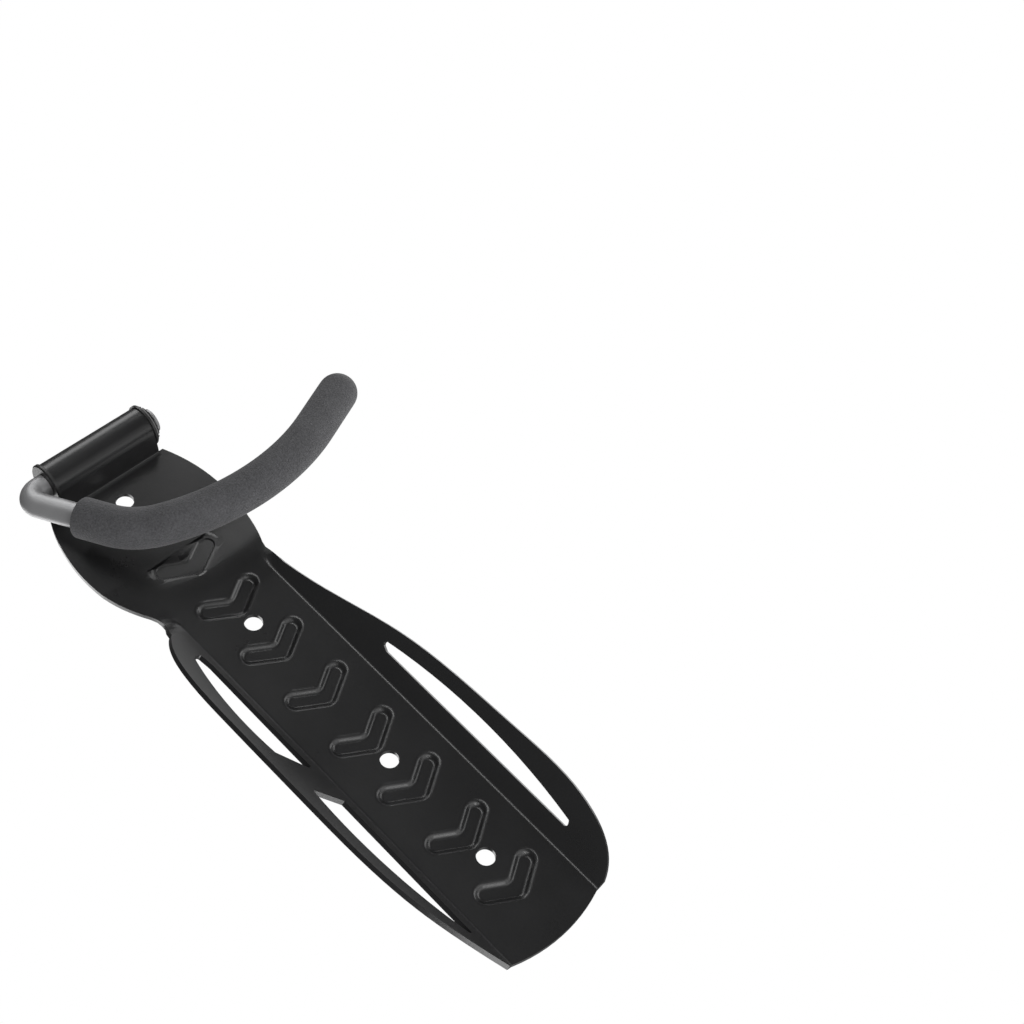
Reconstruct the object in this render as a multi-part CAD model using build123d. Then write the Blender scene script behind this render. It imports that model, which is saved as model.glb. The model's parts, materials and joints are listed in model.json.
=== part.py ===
"""Bicycle wall rack: a pressed wall plate with a tyre tray and a swinging padded hook.

X runs along the wall to the right, Y into the wall, Z up.  The origin lies on the back
face of the plate's strip, on its centre line, halfway between the second and the last
of the four screw holes.
"""
from build123d import *
from math import atan2, cos, degrees, radians, sin, sqrt, tan
import os

# ---- plate sheet ------------------------------------------------------------
sheet = 2.0              # steel thickness
pitch = 25.4             # spacing of the pressed chevrons
hole_d = 7.2             # screw holes
hole_steps = (3, 3, 2)   # chevron steps from each hole down to the next
foot_drop = 35.1         # lowest hole to the corners of the bottom edge
foot_bow = 3.7           # how far the bottom edge bulges below its corners
strip_half = 21.5        # centre line to the fold of a wing
seat_rise = 2.9          # the strip stands this far off the wall, the head lies on it
tray_angle = 38.0        # how far the wings are folded forward
fold_r = 2.2             # inside radius of the folds
waist_half = 26.3        # half width of the waist between head and tray
waist_right = 4.8        # reach of each wing where it leaves the waist
waist_left = 9.4
right_wing = 21.1        # fold to rim at the tallest place of each wing
left_wing = 21.4
right_slot = 7.8         # fold to the straight side of each wing's slots
left_slot = 3.8
wing_blank = 40.0        # sheet on each side before the rims are trimmed
through = 20.0           # reach of the cutters that go right through the sheet
slot_cut = 6.0           # reach of the slots' cutters, short enough to miss the strip
waist_drop = 30.2        # top hole to the place where the waist begins to rise
waist_len = 33.5         # height of the rising waist
waist_steps = 12
waist_settle = 0.85      # shares of that height: where the sheet has come out to the strip,
fold_begin = 0.62        # where the folds begin,
flare_begin = 0.78       # and where the wings begin
least_fold = 1.2         # degrees, at the top of the waist
soft_fold = 3.2          # the folds run out softly into the waist, this much wider there
head_half = 34.2         # half width of the head at its widest
head_r = 70.0            # radius of the head's sides
head_mid_drop = 19.2     # top hole to the widest place
head_shift = -1.2        # the head lies a little left of the strip
crease_rise = 11.0       # top hole to the crease

# ---- chevrons ---------------------------------------------------------------
chevron_count = 8
chevron_drop = 41.6      # top hole to the apex of the first chevron
chevron_reach = 10.0     # centre line to the middle of an arm's round end
chevron_rise = 6.0       # an arm's end above its apex
chevron_w = 8.0          # width of the groove at the sheet's face
chevron_depth = 1.8
coined_depth = 1.0       # the first one, on the head, is pressed from the front only
chevron_draft = 42.0     # slope of the groove's sides
chevron_inner_r = 2.0    # rounding of the apex on its upper side
chevron_rim_r = 2.4      # rounding of the groove's rim and floor
chevron_floor_r = 1.8
cutter_lift = 0.5        # the groove's cutter starts this far in front of the sheet
coined_rim = 1.5         # the first one's rim is eased over this width
coined_rim_draft = 73.0
bump_margin = 0.5        # the bump on the back is wider than the groove by this on each side

# ---- barrel and tab ---------------------------------------------------------
rod_d = 10.0
bush_wall = 1.05
bush_run = 0.1           # radial clearance of the rod in its bushes
bush_fit = 0.05          # radial clearance of a bush in the barrel
barrel_bore_r = rod_d / 2 + bush_run + bush_wall + bush_fit
barrel_r = barrel_bore_r + sheet
barrel_len = 45.5
barrel_shift = 1.15      # the barrel lies a little right of the holes
barrel_drop = 9.5        # barrel axis above the crease
tab_angle = 75.0         # the tab's slope away from the wall
curl_angle = 278.0       # how far the sheet is rolled round the barrel
crease_r = 1.6
flange_d = 17.8
wall_gap = 0.1           # between the flanges and the wall
flange_t = 1.5
bush_depth = 14.0
end_play = 0.2           # between the washer and its bush

# ---- hook -------------------------------------------------------------------
rest_angle = 15.0        # the hook's plane away from the wall
elbow_r = 5.3
elbow_angle = 112.0      # more than square, so the arm leans in under the barrel
elbow_gap = 3.2          # rod between the left bush and the elbow
arm_len = 31.8           # straight arm between elbow and heel
heel_r = 28.0
heel_angle = 42.0
belly_r = 88.0
belly_angle = 50.5
nose_len = 21.9
rod_tail = 1.2           # rod left standing outside the washer
rod_chamfer = 0.8
bare_arm = 19.0          # arm left bare between the elbow and the sleeve
sleeve_wall = 3.1

# ---- lock washer ------------------------------------------------------------
washer_d = 14.8
washer_t = 0.9
washer_dome = 1.9
washer_teeth = 12
tooth_gap = 1.3

# ---- places that follow -----------------------------------------------------
low_hole_z = -pitch * (hole_steps[1] + hole_steps[2]) / 2
hole_z = [low_hole_z + pitch * sum(hole_steps[k:]) for k in range(len(hole_steps) + 1)]
foot_z = low_hole_z - foot_drop
waist_top = hole_z[0] - waist_drop
waist_low = waist_top - waist_len
crease_z = hole_z[0] + crease_rise
head_back = seat_rise
head_front = head_back - sheet
strip_front = -sheet
axis_y = head_back - wall_gap - flange_d / 2
axis_z = crease_z + barrel_drop
head_mid = hole_z[0] - head_mid_drop
left_end = barrel_shift - barrel_len / 2
right_end = barrel_shift + barrel_len / 2
elbow_x = left_end - flange_t - elbow_gap
washer_x = right_end + flange_t + end_play
rod_tip_x = washer_x + washer_dome + rod_tail


def save(shape, name):
    shape.label = name
    export_step(shape, f"parts/{name}.step")


def ease(t):
    """Smooth step from 0 to 1."""
    t = min(max(t, 0), 1)
    return t * t * (3 - 2 * t)


def head_edge(z):
    """Half width of the head's outline at height z."""
    return head_half - head_r + sqrt(head_r ** 2 - (z - head_mid) ** 2)


def fold_section(angle, radius, right_reach, left_reach, back, z):
    """Cross-section of the sheet at height z, with both wings folded forward."""
    front = back - sheet
    half_turn = tan(radians(angle) / 2)

    def side(sign, reach):
        away = Vector(sign * cos(radians(angle)), -sin(radians(angle)))
        out = Vector(sign * sin(radians(angle)), cos(radians(angle))) * sheet
        fold = Vector(sign * strip_half, front)
        flat_end = fold - Vector(sign * radius * half_turn, 0)
        wing_start = fold + away * (radius * half_turn)
        tip = fold + away * reach
        return flat_end, wing_start, tip, tip + out, wing_start + out, flat_end + Vector(0, sheet)

    r, l = side(1, right_reach), side(-1, left_reach)
    edges = [
        Line(l[0], r[0]),
        RadiusArc(r[0], r[1], radius),
        Line(r[1], r[2]),
        Line(r[2], r[3]),
        Line(r[3], r[4]),
        RadiusArc(r[4], r[5], -(radius + sheet)),
        Line(r[5], l[5]),
        RadiusArc(l[5], l[4], -(radius + sheet)),
        Line(l[4], l[3]),
        Line(l[3], l[2]),
        Line(l[2], l[1]),
        RadiusArc(l[1], l[0], radius),
    ]
    return Pos(0, 0, z) * make_face(edges)


def wing_plane(sign):
    """Plane of a wing's front face: x away from the fold, y up."""
    away = (sign * cos(radians(tray_angle)), -sin(radians(tray_angle)), 0)
    normal = Vector(*away).cross(Vector(0, 0, 1))
    return Plane(origin=(sign * strip_half, strip_front, 0), x_dir=away, z_dir=normal)


def wing_point(out, share):
    """A place on a wing: its distance from the fold, and its share of the way to the foot."""
    return (out, waist_low + share * (foot_z - waist_low))


def wing_waste(sign, rim):
    """What is trimmed off beyond the rim, given as points down the wing."""
    rim = [wing_point(*p) for p in rim]
    above, below, far = waist_low + slot_cut, foot_z - through, 2 * wing_blank
    face = make_face([
        Spline(*rim),
        Polyline(rim[-1], (rim[-1][0], below), (far, below), (far, above), (rim[0][0], above), rim[0]),
    ])
    return extrude(wing_plane(sign) * face, amount=wing_blank / 2, both=True)


def wing_slot(sign, outer, inner, corner):
    """Slot between an outer edge, an arc through three points, and its straight inner side."""
    outer = [wing_point(*p) for p in outer]
    inner = [wing_point(*p) for p in inner]
    face = make_face([ThreePointArc(*outer), Polyline(outer[2], *inner, outer[0])])
    face = fillet(face.vertices(), corner)
    return extrude(wing_plane(sign) * face, amount=slot_cut, both=True)


def chevron_face(width):
    arm = Vector(chevron_reach, chevron_rise)
    half = SlotCenterToCenter(arm.length, width)
    angle = Vector(1, 0).get_angle(arm)
    right = Pos(*(arm * 0.5)) * Rot(0, 0, angle) * half
    face = right + mirror(right, about=Plane.YZ)
    apex = face.vertices().filter_by(lambda v: abs(v.X) < 0.01).sort_by(Axis.Y)[-1]
    return fillet(apex, chevron_inner_r)


def chevron_groove(depth, width, draft):
    """Cutter for one groove, standing proud of a front face at the origin, apex at height zero."""
    proud = width + 2 * cutter_lift * tan(radians(draft))
    face = Plane(origin=(0, -cutter_lift, 0), x_dir=(1, 0, 0), z_dir=(0, -1, 0)) * chevron_face(proud)
    return extrude(face, amount=-depth - cutter_lift, taper=draft)


def chevron_bump(depth):
    """The bump that the same chevron raises on the back of the strip."""
    width = chevron_w + 2 * bump_margin
    face = Plane(origin=(0, 0, 0), x_dir=(1, 0, 0), z_dir=(0, -1, 0)) * chevron_face(width)
    return extrude(face, amount=-depth, taper=chevron_draft)


def tray():
    """Strip and both wings below the waist."""
    section = fold_section(tray_angle, fold_r, wing_blank, wing_blank, 0, foot_z - 2 * foot_bow)
    body = extrude(section, amount=waist_low - foot_z + 2 * foot_bow, dir=(0, 0, 1))
    right_rim = [(waist_right, 0), (8.1, 0.105), (16.5, 0.31), (right_wing, 0.644),
                 (19.0, 0.88), (10.6, 0.973), (0.9, 1.004)]
    left_rim = [(waist_left, 0), (15.9, 0.044), (20.1, 0.12), (left_wing, 0.25), (21.1, 0.5),
                (19.5, 0.695), (15.8, 0.804), (10.0, 0.895), (0.9, 1.004)]
    body = body - wing_waste(1, right_rim) - wing_waste(-1, left_rim)
    left, right, below = -2 * strip_half, 2 * strip_half, foot_z - through
    foot = make_face([
        ThreePointArc((-strip_half, foot_z), (0, foot_z - foot_bow), (strip_half, foot_z)),
        Polyline((strip_half, foot_z), (right, foot_z), (right, below), (left, below),
                 (left, foot_z), (-strip_half, foot_z)),
    ])
    body -= extrude(Plane.XZ * foot, amount=through, both=True)
    return body


def tray_slots():
    """One long slot in the right wing, and two in the left with a slanted web between."""
    right = wing_slot(1, [(10.2, 0.291), (14.7, 0.6), (10.4, 0.863)],
                      [(right_slot, 0.871), (right_slot, 0.32)], 1.0)
    upper = wing_slot(-1, [(9.2, 0.074), (14.8, 0.207), (14.4, 0.362)],
                      [(left_slot, 0.431), (left_slot, 0.103), (4.9, 0.069)], 1.0)
    lower = wing_slot(-1, [(13.8, 0.475), (13.5, 0.702), (5.1, 0.9)],
                      [(left_slot, 0.904), (left_slot, 0.524)], 0.45)
    return right + upper + lower


def waist_back(t):
    """Where the sheet's back lies, from the head's (t = 0) to the strip's (t = 1)."""
    return head_back * (1 - ease(t / waist_settle))


def waist():
    """The soft rise from the head to the strip, where the folds begin."""
    sections = []
    for k in range(waist_steps + 1):
        t = k / waist_steps
        z = waist_top - t * waist_len
        angle = least_fold + (tray_angle - least_fold) * ease((t - fold_begin) / (1 - fold_begin))
        tangent = fold_r * tan(radians(tray_angle) / 2) + soft_fold * (1 - t)
        half = max(head_edge(z), waist_half) - strip_half
        shift = head_shift * (1 - t)
        flare = ease((t - flare_begin) / (1 - flare_begin))
        right = half + shift + flare * (waist_right - half)
        left = half - shift + flare * (waist_left - half)
        sections.append(fold_section(angle, tangent / tan(radians(angle) / 2), right, left,
                                     waist_back(t), z))
    return loft(sections[::-1], ruled=True)


def head():
    top, low = head_edge(crease_z), head_edge(waist_top)
    outline = make_face([
        Line((-low, waist_top), (low, waist_top)),
        ThreePointArc((low, waist_top), (head_half, head_mid), (top, crease_z)),
        Line((top, crease_z), (-top, crease_z)),
        ThreePointArc((-top, crease_z), (-head_half, head_mid), (-low, waist_top)),
    ])
    return Pos(head_shift, head_back, 0) * extrude(Plane.XZ * outline, amount=sheet)


def barrel():
    """Tab and rolled barrel, from their side profile."""
    turn = radians(tab_angle)
    centre = Vector(axis_y, axis_z)
    rise = Vector(-sin(turn), cos(turn))
    foot_side = Vector(-cos(turn), -sin(turn))

    def down_to(point, y):
        return point - rise * ((point.X - y) / rise.X)

    def rolled(radius, angle):
        return centre + foot_side.rotate(Axis.Z, -angle) * radius

    outer, inner = rolled(barrel_r, 0), rolled(barrel_bore_r, 0)
    crease, heel = down_to(outer, head_front), down_to(inner, head_back)
    lip_out, lip_in = rolled(barrel_r, curl_angle), rolled(barrel_bore_r, curl_angle)
    face = make_face([
        Line(crease, outer),
        ThreePointArc(outer, rolled(barrel_r, curl_angle / 2), lip_out),
        Line(lip_out, lip_in),
        ThreePointArc(lip_in, rolled(barrel_bore_r, curl_angle / 2), inner),
        Line(inner, heel),
        Polyline(heel, (head_back, crease_z - 2 * sheet), (head_front, crease_z - 2 * sheet), crease),
    ])
    for corner, radius in ((crease, crease_r), (heel, crease_r + sheet)):
        face = fillet(face.vertices().sort_by_distance(corner)[0], radius)
    return Pos(barrel_shift, 0, 0) * extrude(Plane.YZ * face, amount=barrel_len / 2, both=True)


def press_chevron(plate, z):
    """A groove in the strip's front with a bump on its back, and a soft rim."""
    groove = chevron_groove(chevron_depth, chevron_w, chevron_draft)
    groove = fillet(groove.faces().sort_by(Axis.Y)[-1].edges(), chevron_floor_r)
    plate += Pos(0, 0, z) * chevron_bump(chevron_depth)
    return plate - Pos(0, strip_front, z) * groove


def coin_chevron(plate, z):
    """The first chevron, on the rising sheet, pressed from the front only."""
    t = (waist_top - z) / waist_len
    slope = (waist_back(t - 0.01) - waist_back(t + 0.01)) / (0.02 * waist_len)
    lean = Rot(-degrees(atan2(slope, 1)), 0, 0)
    place = Pos(0, waist_back(t) - sheet, z) * lean
    rim_depth = coined_rim / tan(radians(coined_rim_draft))
    plate -= place * chevron_groove(coined_depth, chevron_w, chevron_draft)
    return plate - place * chevron_groove(rim_depth, chevron_w + 2 * coined_rim, coined_rim_draft)


def wall_plate():
    plate = tray() + waist() + head() + barrel()
    for k in range(chevron_count):
        z = hole_z[0] - chevron_drop - k * pitch
        plate = coin_chevron(plate, z) if z > waist_low else press_chevron(plate, z)
    rims = plate.edges().filter_by_position(Axis.Y, strip_front, strip_front)
    rims = rims.filter_by(lambda e: max(abs(v.X) for v in e.vertices()) < chevron_reach + chevron_w)
    rims = rims.filter_by(lambda e: e.center().Z > foot_z + foot_bow)
    rims = rims.filter_by(lambda e: e.center().Z < waist_low - 1)
    plate = fillet(rims, chevron_rim_r)
    plate -= tray_slots()
    for z in hole_z:
        side = head_shift if z > waist_top else 0
        plate -= Pos(side, 0, z) * Rot(90, 0, 0) * Cylinder(hole_d / 2, through)
    return plate


def hook_plane():
    """The hook lies in this plane: x along the barrel, y down the arm."""
    down = Vector(0, -sin(radians(rest_angle)), -cos(radians(rest_angle)))
    return Plane(origin=(0, axis_y, axis_z), x_dir=(1, 0, 0), z_dir=Vector(1, 0, 0).cross(down))


def elbow():
    """The rod's centre line through the barrel and round the elbow."""
    shaft = Line((rod_tip_x, 0), (elbow_x, 0))
    return shaft, JernArc(shaft @ 1, shaft % 1, elbow_r, -elbow_angle)


def bent_end(bare):
    """The centre line from the arm to the nose, with this much left off the arm's start."""
    bend = elbow()[1]
    arm = Line((bend @ 1) + (bend % 1) * bare, (bend @ 1) + (bend % 1) * arm_len)
    heel = JernArc(arm @ 1, arm % 1, heel_r, -heel_angle)
    belly = JernArc(heel @ 1, heel % 1, belly_r, -belly_angle)
    nose = Line(belly @ 1, (belly @ 1) + (belly % 1) * nose_len)
    return arm, heel, belly, nose


def along(edges, radius):
    path = hook_plane() * Wire(edges)
    ring = Plane(origin=path @ 0, z_dir=path % 0) * Circle(radius)
    return sweep(ring, path=path)


def hook_rod():
    rod = along([*elbow(), *bent_end(0)], rod_d / 2)
    tail = rod.faces().sort_by(Axis.X)[-1]
    return chamfer(tail.edges(), rod_chamfer) if tail.is_planar else rod


def foam_sleeve():
    path = bent_end(bare_arm)
    outer_r = rod_d / 2 + sleeve_wall
    body = along(path, outer_r)
    body += Pos(*((hook_plane() * Wire(path)) @ 1)) * Sphere(outer_r)
    return body - hook_rod()


def bush(sign):
    """Flanged bush pressed into one end of the barrel."""
    outer = barrel_bore_r - bush_fit
    body = Cylinder(outer, bush_depth, align=(Align.CENTER, Align.CENTER, Align.MAX))
    flange = Cylinder(flange_d / 2, flange_t, align=(Align.CENTER, Align.CENTER, Align.MIN))
    flange = chamfer(flange.edges().group_by(Axis.Z)[-1], 0.5)
    body = body + flange - Cylinder(rod_d / 2 + bush_run, 4 * bush_depth)
    end = right_end if sign > 0 else left_end
    return Pos(end, axis_y, axis_z) * Rot(0, sign * 90, 0) * body


def lock_washer():
    """Push-on star washer: a shallow toothed dome that grips the rod's end."""
    inner = rod_d / 2
    outer = washer_d / 2
    profile = make_face(Polyline(
        (inner, washer_dome - washer_t), (inner, washer_dome), (inner + 0.8, washer_dome),
        (outer - 0.6, washer_t), (outer, washer_t), (outer, 0), (outer - 0.6, 0),
        (inner + 0.8, washer_dome - washer_t), close=True))
    body = revolve(Plane.XZ * profile, Axis.Z)
    for k in range(washer_teeth):
        turn = Rot(0, 0, k * 360 / washer_teeth)
        body -= turn * Pos(outer, 0, 0) * Box(2.4, tooth_gap, 4 * washer_dome)
    return Pos(washer_x, axis_y, axis_z) * Rot(0, 90, 0) * body


os.makedirs("parts", exist_ok=True)
save(wall_plate(), "wall_plate")
save(hook_rod(), "hook_rod")
save(foam_sleeve(), "foam_sleeve")
save(bush(-1), "left_bush")
save(bush(1), "right_bush")
save(lock_washer(), "lock_washer")
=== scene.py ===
import bpy
import json
import math
from mathutils import Matrix, Vector

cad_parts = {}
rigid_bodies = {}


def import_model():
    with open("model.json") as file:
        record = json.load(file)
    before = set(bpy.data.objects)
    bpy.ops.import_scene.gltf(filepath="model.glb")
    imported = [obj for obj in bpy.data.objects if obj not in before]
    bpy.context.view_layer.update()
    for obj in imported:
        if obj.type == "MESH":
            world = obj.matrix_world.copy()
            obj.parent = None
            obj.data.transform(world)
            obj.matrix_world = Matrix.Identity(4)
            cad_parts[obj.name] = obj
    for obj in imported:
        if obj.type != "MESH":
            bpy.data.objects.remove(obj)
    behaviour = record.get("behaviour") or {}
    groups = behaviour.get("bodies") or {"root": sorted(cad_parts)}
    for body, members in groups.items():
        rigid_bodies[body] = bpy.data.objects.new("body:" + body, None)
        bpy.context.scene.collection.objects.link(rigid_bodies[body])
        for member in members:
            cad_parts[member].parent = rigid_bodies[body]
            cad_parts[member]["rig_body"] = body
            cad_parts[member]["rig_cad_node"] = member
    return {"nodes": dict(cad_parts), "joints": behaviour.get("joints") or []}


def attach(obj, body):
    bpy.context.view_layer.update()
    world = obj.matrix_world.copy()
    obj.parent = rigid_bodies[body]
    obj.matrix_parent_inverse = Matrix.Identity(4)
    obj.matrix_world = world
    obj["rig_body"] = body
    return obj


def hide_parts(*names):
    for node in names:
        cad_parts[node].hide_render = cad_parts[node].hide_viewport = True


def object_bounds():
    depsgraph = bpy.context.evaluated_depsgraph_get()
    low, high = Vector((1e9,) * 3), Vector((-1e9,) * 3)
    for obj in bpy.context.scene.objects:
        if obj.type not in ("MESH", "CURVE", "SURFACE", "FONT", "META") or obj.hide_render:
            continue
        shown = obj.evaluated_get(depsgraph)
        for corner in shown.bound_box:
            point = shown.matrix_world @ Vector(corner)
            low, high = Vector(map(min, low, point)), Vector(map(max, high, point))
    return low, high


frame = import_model()
cadLow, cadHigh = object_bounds()
nodes = frame["nodes"]
hinge = Vector(frame["joints"][0]["pos_m"])
mm = 0.001
mergeGap = 0.001 * mm    # points nearer than this are one point
print("frame loaded:", sorted(nodes))


def deselectAll():
    bpy.ops.object.select_all(action="DESELECT")


def selectOnly(obj):
    deselectAll()
    obj.select_set(True)
    bpy.context.view_layer.objects.active = obj


def applyAll(obj):
    selectOnly(obj)
    for modifier in list(obj.modifiers):
        bpy.ops.object.modifier_apply(modifier=modifier.name)


def pickVerts(obj, wanted):
    bpy.ops.object.mode_set(mode="EDIT")
    bpy.ops.mesh.select_mode(type="VERT")
    bpy.ops.mesh.select_all(action="DESELECT")
    bpy.ops.object.mode_set(mode="OBJECT")
    for v in obj.data.vertices:
        v.select = wanted(v.co)
    bpy.ops.object.mode_set(mode="EDIT")


def dress(obj, material):
    obj.data.materials.clear()
    obj.data.materials.append(material)


class Sock:
    # an output socket that adds and multiplies, so that node maths reads as plain expressions
    def __init__(self, shading, socket):
        self.shading = shading
        self.socket = socket

    def calc(self, operation, a, b):
        return self.shading.node("Math", {"operation": operation}, {0: a, 1: b})

    def __add__(self, other):
        return self.calc("ADD", self, other)

    def __radd__(self, other):
        return self.calc("ADD", other, self)

    def __sub__(self, other):
        return self.calc("SUBTRACT", self, other)

    def __rsub__(self, other):
        return self.calc("SUBTRACT", other, self)

    def __mul__(self, other):
        return self.calc("MULTIPLY", self, other)

    def __rmul__(self, other):
        return self.calc("MULTIPLY", other, self)


class Shading:
    # the nodes of one material, or of the world
    def __init__(self, owner):
        owner.use_nodes = True
        self.owner = owner
        self.tree = owner.node_tree
        self.tree.nodes.clear()

    def node(self, kind, settings, sockets, out=0):
        n = self.tree.nodes.new("ShaderNode" + kind)
        for key, value in settings.items():
            setattr(n, key, value)
        for key, value in sockets.items():
            if isinstance(value, Sock):
                self.tree.links.new(value.socket, n.inputs[key])
            else:
                n.inputs[key].default_value = value
        return Sock(self, n.outputs[out]) if n.outputs else None

    def place(self):
        return self.node("TexCoord", {}, {}, out="Object")

    def noise(self, look):
        scale, detail, roughness = look
        return self.node("TexNoise", {}, {"Vector": self.place(), "Scale": scale, "Detail": detail,
                                          "Roughness": roughness})

    def blend(self, share, dark, light):
        # a colour mix: socket 0 is its share, 6 and 7 are its two colours, output 2 is the result
        return self.node("Mix", {"data_type": "RGBA"}, {0: share, 6: (*dark, 1), 7: (*light, 1)}, out=2)

    def bump(self, height, strength, depth):
        return self.node("Bump", {}, {"Strength": strength, "Distance": depth, "Height": height})

    def finish(self, sockets):
        shader = self.node("BsdfPrincipled", {}, sockets)
        self.node("OutputMaterial", {}, {"Surface": shader})
        return self.owner


def newMaterial(name):
    return Shading(bpy.data.materials.new(name))


# angles are in degrees
view = {
    "aim": (113.8 * mm, 0.0, 38.6 * mm),
    "azimuth": -31.02,
    "elevation": -19.88,
    "roll": 47.63,
    "distance": 772.4 * mm,
    "lens": 67.47,
    "sensor": 36.0,
    "near": 10.0 * mm,
}


def makeCamera():
    a, e = math.radians(view["azimuth"]), math.radians(view["elevation"])
    back = Vector((math.sin(a) * math.cos(e), -math.cos(a) * math.cos(e), math.sin(e)))
    camera = bpy.data.objects.new("camera", bpy.data.cameras.new("camera"))
    bpy.context.scene.collection.objects.link(camera)
    camera.location = Vector(view["aim"]) + back * view["distance"]
    level = (-back).to_track_quat("-Z", "Y").to_matrix()
    turn = Matrix.Rotation(-math.radians(view["roll"]), 3, "Z")
    camera.rotation_euler = (level @ turn).to_euler()
    camera.data.lens = view["lens"]
    camera.data.sensor_width = view["sensor"]
    camera.data.clip_start = view["near"]
    bpy.context.scene.camera = camera


studio = {
    "white": (1, 1, 1, 1),
    "fill": 0.11,            # how much the white room lights the rack
    "boxes": [
        # name, direction seen from the rack, distance, width, height, watts
        ("belowBox", (0.10, -0.36, -0.93), 0.60, 0.80, 0.36, 0.8),
        ("gapBox", (-0.60, -0.05, -0.80), 0.60, 0.40, 0.40, 2.8),
        ("rightBox", (0.85, -0.35, -0.40), 0.70, 0.40, 0.50, 1.8),
        ("topBox", (0.30, -0.30, 0.92), 0.70, 0.50, 0.22, 1.2),
        ("frontStrip", (-0.12, -0.93, 0.34), 0.75, 0.15, 0.80, 2.6),
        ("headBox", (0.52, -0.64, 0.72), 0.62, 0.18, 0.10, 0.26),
        ("wallGlow", (0.90, 0.27, 0.34), 0.80, 1.00, 0.70, 3.0),
        ("backBox", (-0.35, 0.85, 0.40), 0.80, 0.50, 0.50, 2.2),
    ],
}


def makeRoom():
    world = bpy.data.worlds.new("studio")
    bpy.context.scene.world = world
    room = Shading(world)
    cameraRay = room.node("LightPath", {}, {}, out="Is Camera Ray")
    seen = room.node("Background", {}, {"Color": studio["white"]})
    around = room.node("Background", {}, {"Color": studio["white"], "Strength": studio["fill"]})
    both = room.node("MixShader", {}, {0: cameraRay, 1: around, 2: seen})
    room.node("OutputWorld", {}, {"Surface": both})


def makeLights():
    scene = bpy.context.scene
    scene.view_settings.view_transform = "Standard"
    middle = (cadLow + cadHigh) / 2
    for name, direction, distance, width, height, watts in studio["boxes"]:
        lamp = bpy.data.lights.new(name, "AREA")
        lamp.shape = "RECTANGLE"
        lamp.size = width
        lamp.size_y = height
        lamp.energy = watts
        box = bpy.data.objects.new(name, lamp)
        scene.collection.objects.link(box)
        toward = Vector(direction).normalized()
        box.location = middle + toward * distance
        box.rotation_euler = toward.to_track_quat("Z", "Y").to_euler()
        box.visible_camera = False


paleFloor = {
    "drop": 620.0 * mm,      # far enough under the rack to leave room for the lights below it
    "radius": 1.6,
    "sides": 96,
    "dark": (0.80, 0.80, 0.80),
    "light": (0.83, 0.83, 0.83),
    "cloud": (3.0, 2.0, 0.5),
    "roughness": 0.9,
    "glowColour": (0.9, 0.9, 0.9, 1),
    "glow": 0.50,            # keeps the floor pale where the lights don't reach it
}


def makeFloor():
    deselectAll()
    bpy.ops.mesh.primitive_circle_add(vertices=paleFloor["sides"], radius=paleFloor["radius"],
                                      fill_type="NGON", location=(0, 0, cadLow.z - paleFloor["drop"]))
    floor = bpy.context.object
    floor.name = "floor"
    paint = newMaterial("paleFloor")
    tone = paint.blend(paint.noise(paleFloor["cloud"]), paleFloor["dark"], paleFloor["light"])
    dress(floor, paint.finish({
        "Base Color": tone,
        "Roughness": paleFloor["roughness"],
        "Emission Color": paleFloor["glowColour"],
        "Emission Strength": paleFloor["glow"],
    }))


makeCamera()
makeRoom()
makeLights()
makeFloor()
print("camera, lights and floor made")


# in every finish, a noise is (scale, detail, roughness), and a swing is how far that noise moves
# the roughness of the surface up or down from its own value
noiseMiddle = 0.5

plateFinish = {
    "black": (0.0080, 0.0080, 0.0083),
    "worn": (0.0135, 0.0135, 0.0140),
    "peel": (900.0, 2.0, 0.5),
    "cloud": (24.0, 3.0, 0.55),
    "roughness": 0.30,
    "cloudSwing": 0.12,
    "peelSwing": 0.06,
    "bump": 0.12,
    "bumpDepth": 0.2 * mm,
    "specular": 0.5,
}


def blackPowderCoat():
    f = plateFinish
    p = newMaterial("blackPowderCoat")
    peel = p.noise(f["peel"])
    cloud = p.noise(f["cloud"])
    return p.finish({
        "Base Color": p.blend(cloud, f["black"], f["worn"]),
        "Roughness": (f["roughness"] + (cloud - noiseMiddle) * f["cloudSwing"]
                      + (peel - noiseMiddle) * f["peelSwing"]),
        "Normal": p.bump(peel, f["bump"], f["bumpDepth"]),
        "Specular IOR Level": f["specular"],
    })


plateEdges = {
    "flat": 0.5,             # degrees: facets flatter than this are one face
    "sharp": 32.0,           # degrees: edges sharper than this are rounded
    "round": 0.35 * mm,
    "segments": 2,
    "smooth": 38.0,          # degrees: edges flatter than this shade smoothly
    "faceWeight": 90,
}


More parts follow.
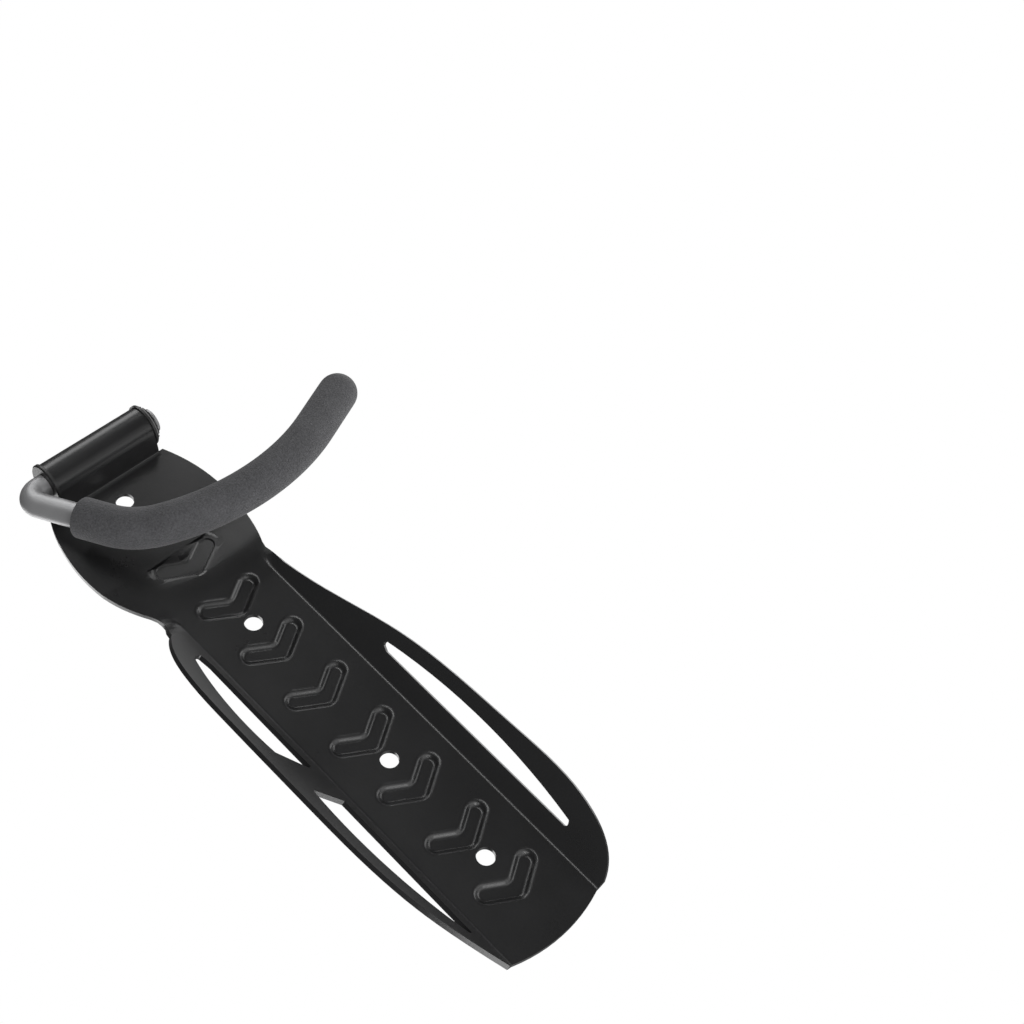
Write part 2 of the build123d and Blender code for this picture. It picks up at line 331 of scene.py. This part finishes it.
def finishPlate():
    # a merged copy of the pressed plate, with its edges rounded as press and paint leave them
    e = plateEdges
    selectOnly(nodes["wall_plate"])
    bpy.ops.object.duplicate()
    plate = bpy.context.object
    plate.name = "wall_plate_finished"
    plate.parent = None
    # the copy is a new piece, so it drops the marks of the CAD piece
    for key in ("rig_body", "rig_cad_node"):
        if key in plate:
            del plate[key]
    bpy.ops.object.mode_set(mode="EDIT")
    bpy.ops.mesh.select_all(action="SELECT")
    bpy.ops.mesh.remove_doubles(threshold=mergeGap)
    bpy.ops.mesh.dissolve_limited(angle_limit=math.radians(e["flat"]))
    bpy.ops.object.mode_set(mode="OBJECT")
    ease = plate.modifiers.new("ease", "BEVEL")
    ease.width = e["round"]
    ease.segments = e["segments"]
    ease.limit_method = "ANGLE"
    ease.angle_limit = math.radians(e["sharp"])
    ease.use_clamp_overlap = True
    applyAll(plate)
    bpy.ops.object.shade_smooth_by_angle(angle=math.radians(e["smooth"]))
    even = plate.modifiers.new("even", "WEIGHTED_NORMAL")
    even.weight = e["faceWeight"]
    even.keep_sharp = True
    applyAll(plate)
    dress(plate, blackPowderCoat())
    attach(plate, "plate")
    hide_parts("wall_plate")
    print("wall plate finished:", len(plate.data.polygons), "faces")


finishPlate()


rodFinish = {
    "dark": (0.24, 0.24, 0.245),
    "light": (0.34, 0.34, 0.345),
    "fine": (2200.0, 2.0, 0.6),
    "cloud": (60.0, 3.0, 0.6),
    "cloudShare": 0.6,
    "fineShare": 0.4,
    "roughness": 0.42,
    "cloudSwing": 0.15,
    "bump": 0.1,
    "bumpDepth": 0.1 * mm,
    "metal": 0.45,
}


def satinSteelRod():
    f = rodFinish
    p = newMaterial("satinSteelRod")
    fine = p.noise(f["fine"])
    cloud = p.noise(f["cloud"])
    share = cloud * f["cloudShare"] + fine * f["fineShare"]
    return p.finish({
        "Base Color": p.blend(share, f["dark"], f["light"]),
        "Roughness": f["roughness"] + (cloud - noiseMiddle) * f["cloudSwing"],
        "Normal": p.bump(fine, f["bump"], f["bumpDepth"]),
        "Metallic": f["metal"],
    })


bushFinish = {
    "dark": (0.012, 0.012, 0.012),
    "light": (0.018, 0.018, 0.018),
    "fine": (1200.0, 2.0, 0.5),
    "roughness": 0.42,
    "fineSwing": 0.1,
    "bump": 0.1,
    "bumpDepth": 0.1 * mm,
    "metal": 0.0,
}

washerFinish = {
    "dark": (0.020, 0.020, 0.020),
    "light": (0.035, 0.035, 0.035),
    "fine": (1600.0, 2.0, 0.5),
    "roughness": 0.33,
    "fineSwing": 0.12,
    "bump": 0.12,
    "bumpDepth": 0.1 * mm,
    "metal": 0.6,
}


def smallPartFinish(name, f):
    p = newMaterial(name)
    fine = p.noise(f["fine"])
    return p.finish({
        "Base Color": p.blend(fine, f["dark"], f["light"]),
        "Roughness": f["roughness"] + (fine - noiseMiddle) * f["fineSwing"],
        "Normal": p.bump(fine, f["bump"], f["bumpDepth"]),
        "Metallic": f["metal"],
    })


dress(nodes["hook_rod"], satinSteelRod())
blackNylon = smallPartFinish("blackNylon", bushFinish)
for bushName in ("left_bush", "right_bush"):
    dress(nodes[bushName], blackNylon)
dress(nodes["lock_washer"], smallPartFinish("blackenedSpringSteel", washerFinish))
print("rod, bushes and washer dressed")


foamFinish = {
    "dark": (0.023, 0.023, 0.025),
    "light": (0.075, 0.075, 0.080),
    "grain": (1300.0, 4.0, 0.7),
    "cloud": (90.0, 3.0, 0.6),
    "poreScale": 1300.0,
    "grainShare": 0.75,
    "cloudShare": 0.25,
    "contrast": 2.8,
    "roughness": 0.9,
    "grainSwing": 0.1,
    "grainHeight": 0.7,
    "poreHeight": 0.3,
    "bump": 0.8,
    "bumpDepth": 0.6 * mm,
    "specular": 0.35,
    "sheen": 0.15,
    "sheenRoughness": 0.6,
}


def charcoalFoam():
    f = foamFinish
    p = newMaterial("charcoalFoam")
    grain = p.noise(f["grain"])
    pores = p.node("TexVoronoi", {"feature": "F1"}, {"Vector": p.place(), "Scale": f["poreScale"]})
    cloud = p.noise(f["cloud"])
    mixed = grain * f["grainShare"] + cloud * f["cloudShare"]
    share = (mixed - noiseMiddle) * f["contrast"] + noiseMiddle
    height = grain * f["grainHeight"] + pores * f["poreHeight"]
    return p.finish({
        "Base Color": p.blend(share, f["dark"], f["light"]),
        "Roughness": f["roughness"] + (grain - noiseMiddle) * f["grainSwing"],
        "Normal": p.bump(height, f["bump"], f["bumpDepth"]),
        "Specular IOR Level": f["specular"],
        "Sheen Weight": f["sheen"],
        "Sheen Roughness": f["sheenRoughness"],
    })


# the sleeve runs round the same bends as the hook's rod; turns are in degrees
sleeve = {
    "restAngle": 15.0,       # how far the hook's plane leans out from the wall
    "elbowX": -26.3 * mm,    # where the rod leaves the barrel's line
    "elbowRadius": 5.3 * mm,
    "elbowTurn": 112.0,
    "bareArm": 19.0 * mm,
    "armLength": 31.8 * mm,
    "heelRadius": 28.0 * mm,
    "heelTurn": 42.0,
    "bellyRadius": 88.0 * mm,
    "bellyTurn": 50.5,
    "nose": 21.9 * mm,
    "outside": 8.1 * mm,     # radius of the foam
    "sides": 64,
    "step": 2.0 * mm,        # between rings
    "fewestRings": 4,        # in a bend
    "tipRings": 9,
    "rimEase": 0.7 * mm,     # how far the rounded rim stands in front of the first ring
    # open end, outwards and back into the bore: step along the arm and ring radius, in mm
    "openEnd": ((-0.45, 7.9), (-0.7, 7.4), (-0.7, 5.7), (-0.4, 5.2), (1.0, 5.04), (5.0, 5.04)),
    "pickDepth": 0.01 * mm,  # how exactly the first ring's points lie on its plane
    "pickReach": 9.0 * mm,   # takes in the first ring and nothing else
    "subdivisions": 1,
}


def extrudeBy(step):
    bpy.ops.mesh.extrude_region_move(TRANSFORM_OT_translate={"value": tuple(step)})


def resizeRing(factor, centre):
    bpy.ops.transform.resize(value=(factor,) * 3, center_override=tuple(centre))


def pushRings(direction, distance):
    steps = round(distance / sleeve["step"])
    for k in range(steps):
        extrudeBy(direction * (distance / steps))


def bendRings(centre, angle, radius):
    steps = max(sleeve["fewestRings"], round(math.radians(angle) * radius / sleeve["step"]))
    bpy.ops.mesh.spin(steps=steps, angle=math.radians(-angle), center=tuple(centre), axis=(0, 0, -1))


def closeTip(end, ahead):
    # each ring steps on and shrinks, and the last one closes to a point
    radius, rings = sleeve["outside"], sleeve["tipRings"]
    before = 0.0
    for k in range(1, rings):
        now = math.radians(90 * k / rings)
        extrudeBy(ahead * (radius * (math.sin(now) - math.sin(before))))
        resizeRing(math.cos(now) / math.cos(before), end + ahead * (radius * math.sin(now)))
        before = now
    extrudeBy(ahead * (radius * (1 - math.sin(before))))
    bpy.ops.mesh.merge(type="CENTER")


def openRim(mouth, heading):
    # rounded rim, flat face and the start of the bore
    place, radius = mouth, sleeve["outside"]
    for on, smaller in sleeve["openEnd"]:
        ring = mouth + heading * on * mm
        extrudeBy(ring - place)
        resizeRing(smaller * mm / radius, ring)
        place, radius = ring, smaller * mm


def makeSleeve():
    # built in the hook's own plane, with the barrel along x and the arm down y
    s = sleeve
    lean = math.radians(s["elbowTurn"] - 90)
    heading = Vector((math.sin(lean), math.cos(lean), 0))
    bendEnd = Vector((s["elbowX"] - s["elbowRadius"] * math.cos(lean),
                      s["elbowRadius"] * (1 + math.sin(lean)), 0))
    mouth = bendEnd + heading * (s["bareArm"] + s["rimEase"])
    deselectAll()
    bpy.ops.mesh.primitive_circle_add(vertices=s["sides"], radius=s["outside"], fill_type="NOTHING",
                                      location=tuple(mouth), rotation=(math.radians(90), 0, -lean))
    foam = bpy.context.object
    foam.name = "foam_sleeve_soft"
    bpy.ops.object.transform_apply(location=True, rotation=True, scale=True)
    bpy.ops.object.mode_set(mode="EDIT")
    bpy.ops.mesh.select_mode(type="VERT")
    bpy.ops.mesh.select_all(action="SELECT")
    at, ahead = bendEnd + heading * s["armLength"], heading
    pushRings(heading, (at - mouth).length)
    for bend in ("heel", "belly"):
        radius, angle = s[bend + "Radius"], s[bend + "Turn"]
        centre = at + Vector((ahead.y, -ahead.x, 0)) * radius
        bendRings(centre, angle, radius)
        swing = Matrix.Rotation(-math.radians(angle), 3, "Z")
        at = centre + swing @ (at - centre)
        ahead = swing @ ahead
    pushRings(ahead, s["nose"])
    closeTip(at + ahead * s["nose"], ahead)
    bpy.ops.object.mode_set(mode="OBJECT")
    pickVerts(foam, lambda co: abs((co - mouth).dot(heading)) < s["pickDepth"]
              and (co - mouth).length < s["pickReach"])
    openRim(mouth, heading)
    bpy.ops.mesh.select_all(action="SELECT")
    bpy.ops.mesh.remove_doubles(threshold=mergeGap)
    bpy.ops.mesh.normals_make_consistent(inside=False)
    bpy.ops.object.mode_set(mode="OBJECT")
    return foam


def hookPlane():
    # from the hook's own plane to its place at rest: x along the barrel, y down the arm
    a = math.radians(sleeve["restAngle"])
    along, down = Vector((1, 0, 0)), Vector((0, -math.sin(a), -math.cos(a)))
    turn = Matrix((along, down, along.cross(down))).transposed().to_4x4()
    return Matrix.Translation(hinge) @ turn


foam = makeSleeve()
foam.matrix_world = hookPlane()
selectOnly(foam)
bpy.ops.object.transform_apply(location=True, rotation=True, scale=True)
smooth = foam.modifiers.new("smooth", "SUBSURF")
smooth.levels = sleeve["subdivisions"]
smooth.render_levels = sleeve["subdivisions"]
applyAll(foam)
bpy.ops.object.shade_smooth()
dress(foam, charcoalFoam())
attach(foam, "hook")
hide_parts("foam_sleeve")
print("foam sleeve made:", len(foam.data.polygons), "faces")
